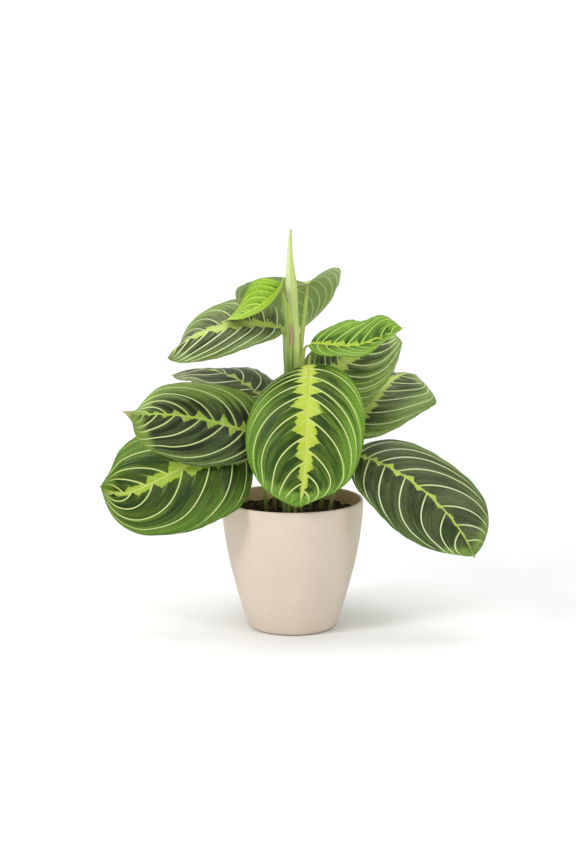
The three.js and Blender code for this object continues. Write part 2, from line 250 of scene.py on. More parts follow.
def soil_height(x, y):
    """Height of the soil in mm at a place in mm."""
    r = math.hypot(x, y)
    swell = math.sin(x * 0.31 + 1.3) * math.cos(y * 0.27 - 0.4)
    swell += 0.7 * math.sin(x * 0.13 - y * 0.19)
    lumps = noise.fractal(Vector((x * 0.16, y * 0.16, 3.1)), 0.8, 2.1, 4)
    return SOIL_LEVEL + 0.88 * swell + 1.2 * (1 - r / 62) + 1.5 * lumps


soil_profile = [(0, SOIL_LEVEL)] + [(r, SOIL_LEVEL) for r in np.linspace(0.7, SOIL_RADIUS, 78)]
soil_profile += [(SOIL_RADIUS, 100), (59, 84), (45, 22), (38, 5), (0, 4.6)]
soil = turn_piece("potting_mix", soil_profile, 200)
shaped = []
for vertex in soil.data.vertices:
    x, y, z = (c / MM for c in vertex.co)
    shaped.append((x, y, soil_height(x, y) if z > SOIL_LEVEL - 0.1 else z))
set_mesh(soil, shaped)

rng = np.random.default_rng(7)
bpy.ops.mesh.primitive_ico_sphere_add(subdivisions=2, radius=1)
crumb = bpy.context.object
crumb_points = np.array([v.co for v in crumb.data.vertices])
crumb_faces = np.array([list(p.vertices) for p in crumb.data.polygons])
bpy.data.objects.remove(crumb)
points, faces = [], []
for k in range(CRUMBS):
    r = (SOIL_RADIUS - 1) * math.sqrt(rng.random())
    turn = rng.random() * 2 * math.pi
    x, y = r * math.cos(turn), r * math.sin(turn)
    size = 0.55 + 1.6 * rng.random() ** 2.2
    stretch = np.array([1, 0.55 + 0.5 * rng.random(), 0.45 + 0.4 * rng.random()])
    if k % 13 == 0:
        stretch = np.array([3.2, 0.5, 0.35])     # a shred of bark
    size = min(size, 61.2 - r) if r > 59.5 else size         # it fits beside the wall
    rough = np.array([1 + 0.35 * noise.noise(Vector(p * 1.7) + Vector((k, 0, 0)))
                      for p in crumb_points])
    spin = rng.random() * math.pi
    turned = crumb_points * rough[:, None] * stretch * size
    turned = turned @ np.array([[math.cos(spin), math.sin(spin), 0],
                                [-math.sin(spin), math.cos(spin), 0], [0, 0, 1]])
    faces.extend((crumb_faces + len(points) * len(crumb_points)).tolist())
    points.append(turned + (x, y, soil_height(x, y) + size * 0.18))
crumb_mesh = bpy.data.meshes.new("soil_crumbs")
crumb_mesh.from_pydata((np.vstack(points) * MM).tolist(), [], faces)
crumbs = bpy.data.objects.new("soil_crumbs", crumb_mesh)
bpy.context.collection.objects.link(crumbs)

# Peat and composted bark, moist: near black brown, dull, with redder and greyer grains.
soil_mix, add, shader = start_material("moist_peat_and_bark")
place = add("TexCoord").outputs["Object"]
grains = add("TexNoise", {"Vector": place, "Scale": 420, "Detail": 5, "Roughness": 0.7})
patches = add("TexVoronoi", {"Vector": place, "Scale": 330})
tone = add("ValToRGB", {"Fac": grains})
for stop, at, colour in zip(tone.color_ramp.elements, (0.36, 0.68), ("#170E0B", "#4A3326")):
    stop.position = at
    stop.color = linear(colour)
rust = add("Mix", {"Factor": 0.3, 6: tone, 7: "#2A1B15"})
pale = add("MapRange", {"Value": patches.outputs["Color"], "From Min": 0.86, "From Max": 0.96,
                        "To Max": 0.5})
mixed = add("Mix", {"Factor": pale, 6: rust, 7: "#6B5644"})
relief = add("Bump", {"Height": grains, "Strength": 0.7, "Distance": 0.0006})
fill_inputs(shader, {"Base Color": mixed, "Normal": relief, "Roughness": 0.85,
                     "Specular IOR Level": 0.25})
for piece in (soil, crumbs):
    piece.data.materials.append(soil_mix)
carry(soil, "soil", "soil")
carry(crumbs, "soil")


# ---- the shoot ----------------------------------------------------------------------------------
# The upright cane, still green, with the clasping foot of a leaf around it. Beside it stands the
# newest leaf, rolled up tight: it swells to 9 mm and runs out to a point.
def roll_tube(name, course, around, per_span, overlap=0.0, seam=0.0):
    """A closed tube along a course of (x, y, z, radius) in mm; an overlap leaves a rolled edge,
    which lies `seam` radians on from the left side."""
    line = smooth_course(course, per_span)
    rings = len(line)
    bpy.ops.mesh.primitive_grid_add(x_subdivisions=around + 1, y_subdivisions=rings - 1, size=2)
    piece = bpy.context.object
    piece.name = name
    ahead = np.gradient(line[:, :3], axis=0)
    ahead /= np.linalg.norm(ahead, axis=1)[:, None]
    side = np.cross((0, -1, 0) if abs(ahead[0][1]) < 0.9 else (1, 0, 0), ahead[0])
    sides = []
    for way in ahead:
        side = side - way * side.dot(way)
        side /= np.linalg.norm(side)
        sides.append(side)
    sides = np.array(sides)
    fronts = np.cross(ahead, sides)
    turn = np.r_[np.linspace(0, 2 * math.pi, around + 1), 2 * math.pi]
    # the edge of a roll starts to stand off a third of the way up
    rolled_up = np.clip((np.arange(rings) / rings - 0.32) / 0.2, 0, 1)
    grow = 1 + overlap * rolled_up[:, None] * turn / (2 * math.pi)
    grow[:, -1] = 1                              # the last column steps back in to the first
    ring = (line[:, 3][:, None] * grow)[:, :, None]
    points = (line[:, None, :3] + ring * (sides[:, None] * np.cos(turn + seam)[None, :, None]
                                          + fronts[:, None] * np.sin(turn + seam)[None, :, None]))
    set_mesh(piece, points.reshape(-1, 3))
    run = np.r_[0, np.cumsum(np.linalg.norm(np.diff(line[:, :3], axis=0), axis=1))]
    store(piece, "run_mm", np.repeat(run, around + 2))
    store(piece, "around", np.tile(turn / (2 * math.pi), rings))
    bpy.ops.object.mode_set(mode="EDIT")
    bpy.ops.mesh.select_all(action="SELECT")
    bpy.ops.mesh.remove_doubles(threshold=0.000002)
    bpy.ops.mesh.select_all(action="DESELECT")
    bpy.ops.mesh.select_mode(type="EDGE")
    bpy.ops.mesh.select_non_manifold()
    bpy.ops.mesh.edge_face_add()
    bpy.ops.mesh.select_all(action="SELECT")
    bpy.ops.mesh.normals_make_consistent(inside=False)
    bpy.ops.mesh.select_all(action="DESELECT")
    bpy.ops.mesh.edges_select_sharp(sharpness=math.radians(55))
    bpy.ops.mesh.mark_sharp()
    bpy.ops.object.mode_set(mode="OBJECT")
    bpy.ops.object.shade_smooth()
    return piece


def store(piece, name, values):
    """Keeps one number for each vertex, for the material to read."""
    layer = piece.data.attributes.new(name, "FLOAT", "POINT")
    layer.data.foreach_set("value", np.asarray(values, dtype=np.float32).ravel())


CANE = [(-4, 3, 92, 4.6), (-4, 3, 150, 4.4), (-4, 3, 215, 4.2), (-3.8, 3, 240, 4),
        (-3.7, 3, 267, 4), (-3.6, 3, 284, 3.6), (-3.2, 3, 300, 2.6)]
ROLLED_LEAF = [(2.8, 3, 200, 3.2), (3.6, 3, 240, 3.4), (3.1, 3, 267, 3.3), (1.3, 3, 293, 3.6),
               (-1, 3, 317, 4.6), (-2.2, 3, 338, 2.7), (-2.3, 3, 353.5, 1.8),
               (-1.8, 3, 366.8, 1.15)]
cane = roll_tube("cane", CANE, 28, 14)
rolled = roll_tube("rolled_leaf", ROLLED_LEAF, 40, 14, overlap=0.2, seam=1.45)


def stem_material(name, low, high, streak, reach):
    """Smooth living stem: colour from its foot to its head, fine fibres along it, satin skin."""
    material, add, shader = start_material(name)
    run, around = (add("Attribute", attribute_name=stored).outputs["Fac"]
                   for stored in ("run_mm", "around"))
    rise = add("MapRange", {"Value": run, "From Min": reach[0], "From Max": reach[1]})
    ground = add("Mix", {"Factor": rise, 6: low, 7: high})
    # fibres 0.4 to 1 mm apart around the stem and many times longer than they are wide
    spun = add("Math", {0: around, 1: 26}, operation="MULTIPLY")
    drawn = add("Math", {0: run, 1: 0.035}, operation="MULTIPLY")
    way = add("CombineXYZ", {"X": spun, "Y": drawn})
    fibres = add("TexNoise", {"Vector": way, "Scale": 1, "Detail": 3})
    share = add("MapRange", {"Value": fibres, "From Min": 0.4, "From Max": 0.7, "To Max": 0.55})
    skin = add("Mix", {"Factor": share, 6: ground, 7: streak})
    relief = add("Bump", {"Height": fibres, "Strength": 0.35, "Distance": 0.0003})
    fill_inputs(shader, {"Base Color": skin, "Normal": relief, "Roughness": 0.42, "IOR": 1.42})
    return material, add, shader, skin


# living stem tissue: waxy, satin; the cane is mid green, the rolled leaf pale yellow green
cane_skin, *_ = stem_material("living_green_cane", "#8AAA48", "#C6D86C", "#D2E08E", (148, 180))
# the rolled leaf is paler at its foot than at its head: partly its own colour, partly painted light
# that lifts the shade the leaves above cast on it
rolled_skin, add, shader, skin = stem_material("rolled_new_leaf", "#DEEC92", "#D2E28E", "#A6C65A",
                                               (40, 165))
# the outer turn of the roll is the leaf's lower face: nearly white green
around = add("Attribute", attribute_name="around").outputs["Fac"]
outer_turn = add("MapRange", {"Value": around, "From Min": 0.42, "From Max": 0.8, "To Max": 0.6})
run = add("Attribute", attribute_name="run_mm").outputs["Fac"]
rolled_part = add("MapRange", {"Value": run, "From Min": 70, "From Max": 100})
pale_turn = add("Math", {0: outer_turn, 1: rolled_part}, operation="MULTIPLY")
paled = add("Mix", {"Factor": pale_turn, 6: skin, 7: "#E6EEB8"})
fill_inputs(shader, {"Base Color": paled})
cane.data.materials.append(cane_skin)
rolled.data.materials.append(rolled_skin)
carry(cane, "shoot", "main_shoot")
carry(rolled, "shoot")

# the dead tip of an old leaf sheath: a papery strip, dry and pinkish brown, held at its foot
SHEATH = [(-1.6, -1, 261, 0.6), (-1.2, -1.3, 265, 1.7), (-1, -1.5, 270, 1.6), (-1.2, -1.4, 276, 1),
          (-1.6, -1.2, 281, 0.4)]
bpy.ops.mesh.primitive_grid_add(x_subdivisions=8, y_subdivisions=32, size=2)
sheath = bpy.context.object
sheath.name = "dry_sheath"
line = smooth_course(SHEATH, 8)
strip = []
for x, y, z, half in line:
    for across in np.linspace(-1, 1, 9):
        strip.append((x + half * across, y - 0.5 + 0.55 * across ** 2 * half, z))
set_mesh(sheath, strip)
thickness = sheath.modifiers.new("thickness", "SOLIDIFY")
thickness.thickness = 0.3 * MM
thickness.offset = 0
bpy.ops.object.modifier_apply(modifier=thickness.name)
bpy.ops.object.shade_smooth()
dry_skin, add, shader = start_material("dry_papery_sheath")
place = add("TexCoord").outputs["Object"]
long_way = add("Mapping", {"Vector": place, "Scale": (1800, 1800, 160)})
fibres = add("TexNoise", {"Vector": long_way, "Scale": 1, "Detail": 2})
dry = add("Mix", {"Factor": fibres, 6: "#B58F6C", 7: "#DCC8AC"})
fill_inputs(shader, {"Base Color": dry, "Roughness": 0.8})
sheath.data.materials.append(dry_skin)
carry(sheath, "shoot")


# ---- the leaves ---------------------------------------------------------------------------------
# Thirteen broad blades, 0.45 mm thin, each on its own stalk: a satin upper face with a yellow green
# band along the midrib, pale veins that arch to the margin, and dark patches between them.

# Sizes are in mm, angles in degrees, and a pair gives the left half first. `rib` is four points
# of the midrib, `heading` the way it grows, `width` the greatest width. `left` and `right` give
# each half's angle at base and tip and how far it bends down to its margin. `full` and `taper`
# shape the outline, `lop` widens a half, `wave` is the margin's height, number and phases, `quilt`
# how far the blade swells between its veins. `tip` moves the tip, `tip_side` and `tip_wide` say
# how much of it. `veins` start at shares of the midrib; `bow`, `drop` and `fan` curve them. `lime`
# is the half width of the yellow green band, `band_end` where it ends, `green` how green it is.
# `face` is the finish, `tone` its brightness, partly its own and partly painted light and shade
# that makes up for how the lamps light it, `dark` how far its dark patches reach,
# `sheen_and_bloom` its grey veil, partly grey bloom and partly painted sheen, `dry` a dead tip.
# `stalk` is the stalk's course with its radii.
LEAVES = {
    "leaf_front": dict(
        rib=[(14.7, -28, 247.6), (12.9, -51.8, 215), (11.3, -67.6, 168.4), (5.3, -75.1, 127)],
        heading=-91.2, width=107, left=(24.8, 8, 26.4), right=(1, 14.1, 44), full=(0.1, 0),
        lop=(0.97, 1.08), taper=(1.23, -0.06), wave=(1.1, 1.44, 0.06, 0.69), tip=(0, -0.5, 2.5),
        tip_wide=1.2,
        veins=((0.04, 0.1, 0.165, 0.24, 0.395, 0.605, 0.766, 0.88),
               (0.04, 0.07, 0.1, 0.155, 0.235, 0.34, 0.52, 0.69, 0.83)), bow=(2.2, 1),
        drop=(0.4, 0.95), fan=0.32, lime=14.5, face="fresh", tone=(1.06, 1.02), dark=(0.05, 0.1),
        stalk=[(8, -8, 92, 2), (8, -6, 140, 1.8), (11, -4, 200, 1.6), (15, -8, 243, 1.1),
               (16, -17, 254, 0.9), (15.2, -24, 252, 0.85)]),
    "leaf_left_middle": dict(
        rib=[(-16.8, -30, 179.7), (-63.5, -42.9, 196.8), (-101.8, -52.6, 206.1),
             (-141.7, -62.3, 208.1)], heading=189.8, width=86, left=(-49.8, -64.2, 40.4),
        right=(67.4, 46.8, 31), full=(-0.13, 0.13), lop=(0.98, 1.03), taper=(-0.22, 1.1),
        wave=(0.87, 1.47, 0.06, 1.07), tip=(-9.5, -1, 3), tip_side=0.35, tip_wide=1.1,
        veins=((0.05, 0.12, 0.22, 0.365, 0.53, 0.71, 0.83, 0.92),
               (0.07, 0.16, 0.276, 0.437, 0.61, 0.766, 0.885)), bow=(1, 1), drop=(0.95, 0.95),
        fan=0.25, lime=8.5, green=0.7, face="mature", tone=(1.16, 1.2), dark=(0.35, -0.05), dry=1,
        stalk=[(-6, -16, 92, 2), (-8, -18, 130, 1.8), (-10, -23, 162, 1.6), (-12, -27, 176, 1.7)]),
    "leaf_left_low": dict(
        rib=[(-36.8, -23.2, 161.9), (-94.1, -48, 159.1), (-137.2, -47.8, 138.4),
             (-170.1, -67.1, 144)], heading=197.7, width=102, left=(-47.1, -64.7, 18),
        right=(68.7, 71.4, 26), full=(0.22, 0.06), lop=(1.09, 0.95), taper=(1.63, 0.57),
        wave=(0.95, 1.93, 0.61, 0.74),
        veins=((0.05, 0.14, 0.276, 0.444, 0.64, 0.773, 0.89), (0.08, 0.2, 0.36, 0.535, 0.68, 0.82)),
        bow=(1, 1), drop=(0.95, 0.95), lime=11, green=0.8, face="fresh", tone=(0.74, 0.86),
        dark=(0.1, 0),
        stalk=[(-22, -12, 92, 2.1), (-25, -15, 125, 1.9), (-29, -19, 151, 1.7),
               (-32, -22, 160.5, 1.8)]),
    "leaf_right_low": dict(
        rib=[(53.4, -34, 166.7), (91.1, -51.5, 156.1), (131.8, -62.3, 125.3), (161.3, -65.9, 81.5)],
        heading=-15.8, width=89, left=(46, 62.8, 32.1), right=(-44.7, -51.5, 26.1),
        full=(-0.1, 0.05), lop=(0.97, 0.97), taper=(0.3, 0.46), wave=(1.4, 1.52, -0.01, 0.9),
        veins=((0.04, 0.108, 0.185, 0.304, 0.458, 0.64, 0.787, 0.9),
               (0.05, 0.122, 0.227, 0.367, 0.528, 0.689, 0.829)), bow=(2.2, 0.3), drop=(0.4, 0.7),
        fan=0.45, lime=4.2, green=0.3, face="olive", tone=(1.2, 1.22), dark=(0.3, 0.35),
        sheen_and_bloom=(0.25, 0.05),
        stalk=[(32, -20, 92, 2.1), (36, -22, 125, 1.9), (43, -27, 155, 1.7), (49, -32, 167, 1.8)]),
    "leaf_right_middle": dict(
        rib=[(48.6, 0, 177), (72, 29.5, 203.8), (93.6, 57.9, 221.9), (116.4, 84.1, 223)],
        heading=55.8, width=96, left=(20.4, 0.6, 27.6), right=(-9.3, -22.3, 9.5),
        full=(-0.25, -0.28), lop=(1.02, 1.01), taper=(0.71, 0.09), wave=(1.65, 1.3, -0.19, 0.63),
        veins=((0.05, 0.13, 0.23, 0.35, 0.5, 0.65, 0.8), (0.05, 0.15, 0.27, 0.41, 0.53, 0.66, 0.8)),
        bow=(1, 0.8), drop=(0.95, 0.95), lime=9, green=0.2, face="light", tone=(1.1, 1.1),
        stalk=[(24, 4, 92, 2.1), (29, 2, 130, 1.9), (39, 0, 160, 1.7), (46, 0, 174, 1.8)]),
    "leaf_right_dark": dict(
        rib=[(26.9, 0, 216.9), (35.5, 15.7, 232.7), (70.8, 24, 258.1), (93.4, 34.6, 267.4)],
        heading=40, width=88, left=(28.7, 28.3, 30.9), right=(-14.7, -12, 33), full=(-0.04, 0.28),
        lop=(1.04, 1.09), taper=(1.13, -0.02), wave=(2, 1.58, 0.3, 0.49), lime=10, face="light",
        tone=(1.18, 1.18),
        stalk=[(16, 2, 92, 2), (17, 1, 150, 1.8), (20, 0, 190, 1.6), (24, 0, 211, 1.7)]),
    "leaf_right_small": dict(
        rib=[(16.1, -12, 264.5), (48, -23.5, 263.9), (66.8, -27.5, 267.2), (97.3, -37.1, 281.6)],
        heading=-15, width=62, left=(50.9, 45.8, 14.4), right=(-5.7, -2.4, 18.7),
        full=(-0.04, -0.18), lop=(1.02, 0.99), taper=(0.87, 0.78), wave=(1.46, 2.14, 0.55, 0.4),
        quilt=1.1,
        veins=((0.05, 0.11, 0.23, 0.38, 0.53, 0.75, 0.87),
               (0.08, 0.17, 0.28, 0.38, 0.48, 0.62, 0.74, 0.85)), bow=(1.6, 1.2), drop=(0.4, 0.3),
        lime=5, face="bright", tone=(0.95, 0.9),
        stalk=[(2, -20, 92, 1.8), (4, -18, 150, 1.6), (7, -13, 220, 2.4), (8.4, -11.6, 244, 2.6),
               (9.8, -11, 255, 1.5), (12, -11, 262, 1.1)]),
    "leaf_left_high": dict(
        rib=[(-8.5, -11.8, 276.6), (-37.4, -23.9, 282.1), (-76.2, -49.9, 280.7),
             (-110.2, -60.4, 258.5)], heading=199, width=70, left=(14, -51, 22), right=(75, -25, 9),
        full=(0.2, 0.2), lop=(1.02, 0.96), taper=(0, 1), wave=(1.2, 1.6, 0.6, 0.2), tip=(1, 0, 0.5),
        veins=((0.07, 0.15, 0.23, 0.33, 0.46, 0.62, 0.78, 0.9),
               (0.05, 0.14, 0.25, 0.37, 0.5, 0.64, 0.76, 0.87)), bow=(1.9, 0.1), drop=(1.05, 0.5),
        lime=10, band_end=0.86, face="light", tone=(0.86, 0.95), dark=(0.2, 0), sheen_and_bloom=(0, 0.2),
        stalk=[(-4.4, 0.2, 226, 0.9), (-5.5, -3.2, 245, 1.4), (-6, -3.8, 262, 1.5),
               (-7, -5.4, 271, 1.5)]),
    "leaf_young": dict(
        rib=[(-10.1, -9.3, 319), (-21.9, -23.3, 304.8), (-39.3, -31.1, 295.3),
             (-59.1, -41.5, 289.3)], heading=201, width=42, left=(32, -14, 5.4), right=(83, -2, 19),
        full=(0.4, 0.4), lop=(0.93, 1.05), taper=(1.4, 0.9), wave=(0.6, 1.6, 0, 0.5), lime=3.2,
        face="young",
        stalk=[(-4.6, 1.6, 226, 1.5), (-5.2, 1.2, 246, 3), (-5.6, 1, 264, 3.3), (-6, 0.6, 285, 3.2),
               (-7.2, -0.6, 300, 2.5), (-9.2, -3.2, 311, 1.4)]),
    "leaf_back_top": dict(
        rib=[(14.1, 14, 316.1), (3, 59.6, 310.6), (-2.1, 89.7, 303.7), (9.5, 112, 263.5)],
        heading=107, width=100, left=(24.5, -23, 9.4), right=(41.4, -30, 6.3), lop=(1.07, 0.93),
        taper=(0.8, 0.64), wave=(1.4, 1.5, 0.3, 0.8), lime=17, face="light", dry=1,
        stalk=[(2.8, 5.6, 205, 1.4), (4.8, 7.8, 232, 2.1), (6.6, 8.4, 250, 2.5), (8, 9.5, 266, 2.4),
               (10.5, 11.5, 285, 1.9), (13, 13, 308, 1.5)]),
    "leaf_left_back": dict(
        rib=[(-28, 10, 208), (-39.4, 26.5, 219.2), (-70.8, 41.4, 232.2), (-111.5, 47.2, 228)],
        heading=165.9, width=80, left=(-23.7, -3.1, 18.7), right=(51.1, -21.6, 27),
        full=(0.22, 0.14), lop=(1.03, 0.9), taper=(-0.34, 1.8), wave=(2.2, 2.23, 0.6, 0.27),
        veins=((0.08, 0.2, 0.35, 0.52, 0.7), (0.06, 0.17, 0.32, 0.5, 0.7, 0.86)), lime=5,
        face="greyed", sheen_and_bloom=(0.1, 0.1), dry=1,
        stalk=[(-16, 6, 92, 2), (-17, 7, 150, 1.8), (-20, 9, 188, 1.6), (-25, 9.5, 203, 1.7)]),
    "leaf_rear_low": dict(
        rib=[(9, 33, 188), (15, 64, 195), (20, 93, 191), (24, 115, 173)], heading=82, width=78,
        left=(12, 0, 30), right=(12, 0, 30), taper=(0.35, 0.35), wave=(1.5, 1.6, 0.2, 0.6), lime=9,
        face="fresh",
        stalk=[(8, 18, 92, 2), (8, 20, 140, 1.8), (7, 25, 172, 1.6), (6, 30, 184, 1.7)]),
    "leaf_rear_left": dict(
        rib=[(-28, 24, 181), (-54, 46, 194), (-80, 66, 197), (-106, 80, 188)], heading=144,
        width=76, left=(5, 0, 25), right=(20, 10, 25), taper=(0.35, 0.35),
        wave=(1.5, 1.6, 0.5, 0.9), lime=7, face="mature",
        stalk=[(-10, 16, 92, 2), (-11, 17, 140, 1.8), (-15, 19, 168, 1.6), (-20, 21, 180, 1.7)]),
}
BLADE_ROWS = 120
BLADE_COLUMNS = 60
BLADE_THICKNESS = 0.45


def smoothstep(low, high, x):
    """Rises softly from 0 at `low` to 1 at `high`."""
    part = np.clip((x - low) / (high - low), 0, 1)
    return part * part * (3 - 2 * part)


def midrib_at(rib, s):
    """Places on the midrib and its directions at shares s of its length."""
    u = np.linspace(0, 1, 801)
    a, b, c = u - 1 / 3, u - 2 / 3, u - 1
    weights = np.stack([-4.5 * a * b * c, 13.5 * u * b * c, -13.5 * u * a * c, 4.5 * u * a * b], 1)
    line = weights @ np.array(rib, dtype=float)
    run = np.r_[0, np.cumsum(np.linalg.norm(np.diff(line, axis=0), axis=1))]
    ahead = np.gradient(line, axis=0)
    ahead /= np.linalg.norm(ahead, axis=1)[:, None]
    at = s * run[-1]
    place = np.stack([np.interp(at, run, line[:, k]) for k in range(3)], -1)
    way = np.stack([np.interp(at, run, ahead[:, k]) for k in range(3)], -1)
    return place, way / np.linalg.norm(way, axis=-1)[..., None]


def blade_frame(leaf, s):
    """At each place of the midrib: the place, its direction, the way across and the way up."""
    place, ahead = midrib_at(leaf["rib"], s)
    heading = math.radians(leaf["heading"])
    across = np.array([math.sin(heading), -math.cos(heading), 0.0]) + 0 * ahead
    across -= ahead * (across * ahead).sum(-1)[..., None]
    across /= np.linalg.norm(across, axis=-1)[..., None]
    return place, ahead, across, np.cross(across, ahead)


def blade_surface(leaf, s, t):
    """Middle surface of a blade in mm: s runs from base to tip, t from left to right margin."""
    place, _, across, up = blade_frame(leaf, s)

    def pick(pair):
        """Each half has its own value."""
        return np.where(t >= 0, pair[1], pair[0])

    sine = 2 * np.sqrt(np.maximum(s * (1 - s), 0))
    sharp = 0.9 + pick(leaf["taper"]) * smoothstep(0.75, 1, s)
    half = (0.5 * leaf["width"] * pick(leaf.get("lop", (1, 1))) * sine ** sharp
            * (1 + pick(leaf.get("full", (0, 0))) * (1 - 2 * s)))
    sides = (leaf["left"], leaf["right"])
    base, tip, bend = (pick([side[k] for side in sides]) for k in range(3))
    angle = np.radians(base + (tip - base) * s)
    curl = np.radians(bend)
    out = np.abs(t)
    reach = (np.sin(angle) - np.sin(angle - curl * out)) / curl
    rise = (np.cos(angle - curl * out) - np.cos(angle)) / curl
    height, count, left_phase, right_phase = leaf["wave"]
    phase = pick((left_phase, right_phase))
    ripple = height * out ** 2 * sine * np.sin(2 * math.pi * (count * s + phase))
    # small ripples ride on the long ones
    ripple += 0.16 * height * out ** 4 * sine * np.sin(2 * math.pi * (5.3 * count * s + 3 * phase))
    return (place + across * (np.sign(t) * reach * half)[..., None]
            + up * (rise * half + ripple)[..., None])


def steepness(points, values):
    """How fast a value changes over a surface, per mm."""
    du, dv = np.gradient(points, axis=0), np.gradient(points, axis=1)
    fu, fv = np.gradient(values, axis=0), np.gradient(values, axis=1)
    e, f, g = (du * du).sum(-1), (du * dv).sum(-1), (dv * dv).sum(-1)
    return np.sqrt((g * fu ** 2 - 2 * f * fu * fv + e * fv ** 2) / np.maximum(e * g - f * f, 1e-6))


VEIN_STARTS = ((0.04, 0.1, 0.17, 0.26, 0.38, 0.52, 0.67, 0.8, 0.9),
               (0.03, 0.07, 0.135, 0.215, 0.32, 0.45, 0.6, 0.74, 0.86))


def vein_number(leaf, half, s, t):
    """Counts the side veins of one half, from base to tip: whole numbers lie on them. Each starts
    at its share of the midrib, runs out steeply and then bows towards the tip. The second result
    is the number straight across at the midrib."""
    start = np.linspace(0, 1, 400)
    spread = np.minimum(1.05, 1.2 - leaf.get("drop", (0.95, 0.95))[half] * start)
    bend = leaf.get("bow", (1, 1))[half] * (1.25 * start ** 1.4 + 0.005)
    found = np.zeros_like(s)
    for row in range(s.shape[0]):
        here = s[row, 0]
        k = start < here
        x = (here - start[k]) / (1 - start[k])
        out = spread[k] * (1 + bend[k]) * x / (x + bend[k])
        out *= 1 + leaf.get("fan", 0.1) * 2 * max(here / 0.25 - 3, 0) ** 3
        found[row] = np.interp(np.abs(t[row]), np.r_[0, out[::-1]], np.r_[here, start[k][::-1]])
    starts = leaf.get("veins", VEIN_STARTS)[half]
    places, numbers = (0, *starts, 1), (0.4, *range(1, len(starts) + 1), len(starts) + 0.9)
    return np.interp(found, places, numbers), np.interp(s, places, numbers)


def blade(name, leaf, seed):
    """The blade of a leaf, with what its finish needs stored on its points."""
    bpy.ops.mesh.primitive_grid_add(x_subdivisions=BLADE_COLUMNS, y_subdivisions=BLADE_ROWS, size=2)
    piece = bpy.context.object
    piece.name = name
    s = (1 - np.cos(math.pi * np.linspace(0.004, 0.997, BLADE_ROWS + 1))) / 2
    t = np.linspace(-1, 1, BLADE_COLUMNS + 1)
    t = np.sign(t) * np.abs(t) ** 1.25
    s, t = np.meshgrid(s, t, indexing="ij")
    flat = blade_surface(leaf, s, t)
    # the drip tip: the last of the blade is drawn out along the midrib, or moved as `tip` says
    drawn_out = blade_frame(leaf, s)[1] * 2.6 if "tip" not in leaf else np.array(leaf["tip"])
    at_tip = smoothstep(0.955, 0.997, s)
    at_tip *= smoothstep(leaf.get("tip_wide", 0.55), 0, np.abs(t - leaf.get("tip_side", 0)))
    flat += drawn_out * at_tip[..., None]
    middle = BLADE_COLUMNS // 2
    number, at_rib, steep = np.empty_like(s), np.empty_like(s), np.empty_like(s)
    for half, columns in ((1, slice(middle, None)), (0, slice(0, middle + 1))):
        found = vein_number(leaf, half, s[:, columns], t[:, columns])
        number[:, columns], at_rib[:, columns] = found
        steep[:, columns] = steepness(flat[:, columns], number[:, columns])
    rib_mm = np.linalg.norm(flat - flat[:, middle:middle + 1], axis=-1)
    # the yellow green band is widest a third of the way along and runs out to the tip
    beyond = np.clip((s - 0.33) / 0.67, 0, 1)
    before = np.clip((0.33 - s) / 0.33, 0, 1)
    band = leaf["lime"] * np.where(s > 0.33, 1 - beyond ** 1.3, 1 - 0.55 * before ** 2)
    band_end = leaf.get("band_end", 0.97)
    band *= smoothstep(band_end, band_end - 0.07, s)
    # between the veins the blade swells up a little, like a quilt
    normal = np.cross(np.gradient(flat, axis=1), np.gradient(flat, axis=0))
    normal /= np.linalg.norm(normal, axis=-1)[..., None]
    quilt = leaf.get("quilt", 0.5) * (1 - np.cos(2 * math.pi * number)) / 2
    quilt *= smoothstep(1, 0.8, np.abs(t)) * smoothstep(0, 4, rib_mm) * smoothstep(0, 0.05, s)
    quilt *= smoothstep(1, 0.93, s)
    groove = -0.15 * smoothstep(3, 0, rib_mm)
    set_mesh(piece, (flat + normal * (quilt + groove)[..., None]).reshape(-1, 3))
    kept = {"vein": number, "vein_at_rib": at_rib, "vein_per_mm": steep, "rib_mm": rib_mm,
            "lime_share": rib_mm / np.maximum(band, 0.05), "edge": np.abs(t), "along": s,
            "leaf_seed": np.full(s.shape, seed), "dry_tip": at_tip * leaf.get("dry", 0),
            "green_band": np.full(s.shape, leaf.get("green", 0))}
    for key, usual in (("tone", 1), ("sheen_and_bloom", 0.03), ("dark", 0)):   # each half has its value
        left, right = leaf.get(key, (usual, usual))
        kept[key] = left + (right - left) * smoothstep(-0.06, 0.06, t)
    for key, values in kept.items():
        store(piece, key, values)
    bpy.ops.object.shade_smooth()
    return piece


def leaf_stalk(name, leaf):
    """Stalk, swollen joint and the raised midrib under the blade: one tube, tapering all along."""
    s = np.r_[0.02, 0.06, np.linspace(0.12, 0.96, 15)]
    place, _, _, up = blade_frame(leaf, s)
    radius = 0.95 * (1 - s) + 0.2                # of the midrib, 2.3 mm thick at the joint
    under = place - up * (radius + 0.35)[:, None]
    course = [tuple(p) for p in leaf["stalk"]]
    course += [(*p, r) for p, r in zip(under, radius)]
    tube = roll_tube(name + "_stalk", course, 14, 4)
    joint = np.array(under[0])
    points = np.array([v.co for v in tube.data.vertices]) / MM
    run = np.array([d.value for d in tube.data.attributes["run_mm"].data])
    at = run[np.argmin(np.linalg.norm(points - joint, axis=1))]
    store(tube, "swelling", smoothstep(-13, -8, run - at) * smoothstep(5, 0, run - at))
    store(tube, "under_blade", smoothstep(0, 6, run - at))
    return tube


# Reach of the yellow green band between one side vein and the next, as shares: broad saw teeth,
# or single small teeth just before each vein.
BROAD_TEETH = ((0, 0.42), (0.14, 0.54), (0.24, 0.76), (0.29, 0.6), (0.52, 0.82), (0.56, 0.7),
               (0.82, 1.12), (0.845, 0.82), (0.91, 0.7), (0.935, 0.44), (0.985, 0.34), (1, 0.1))
SMALL_TEETH = ((0, 0.16), (0.28, 0.18), (0.35, 0.42), (0.41, 0.38), (0.5, 0.8), (0.55, 0.78),
               (0.63, 1.16), (0.68, 1.02), (0.73, 0.72), (0.77, 0.3), (0.86, 0.18), (1, 0.16))


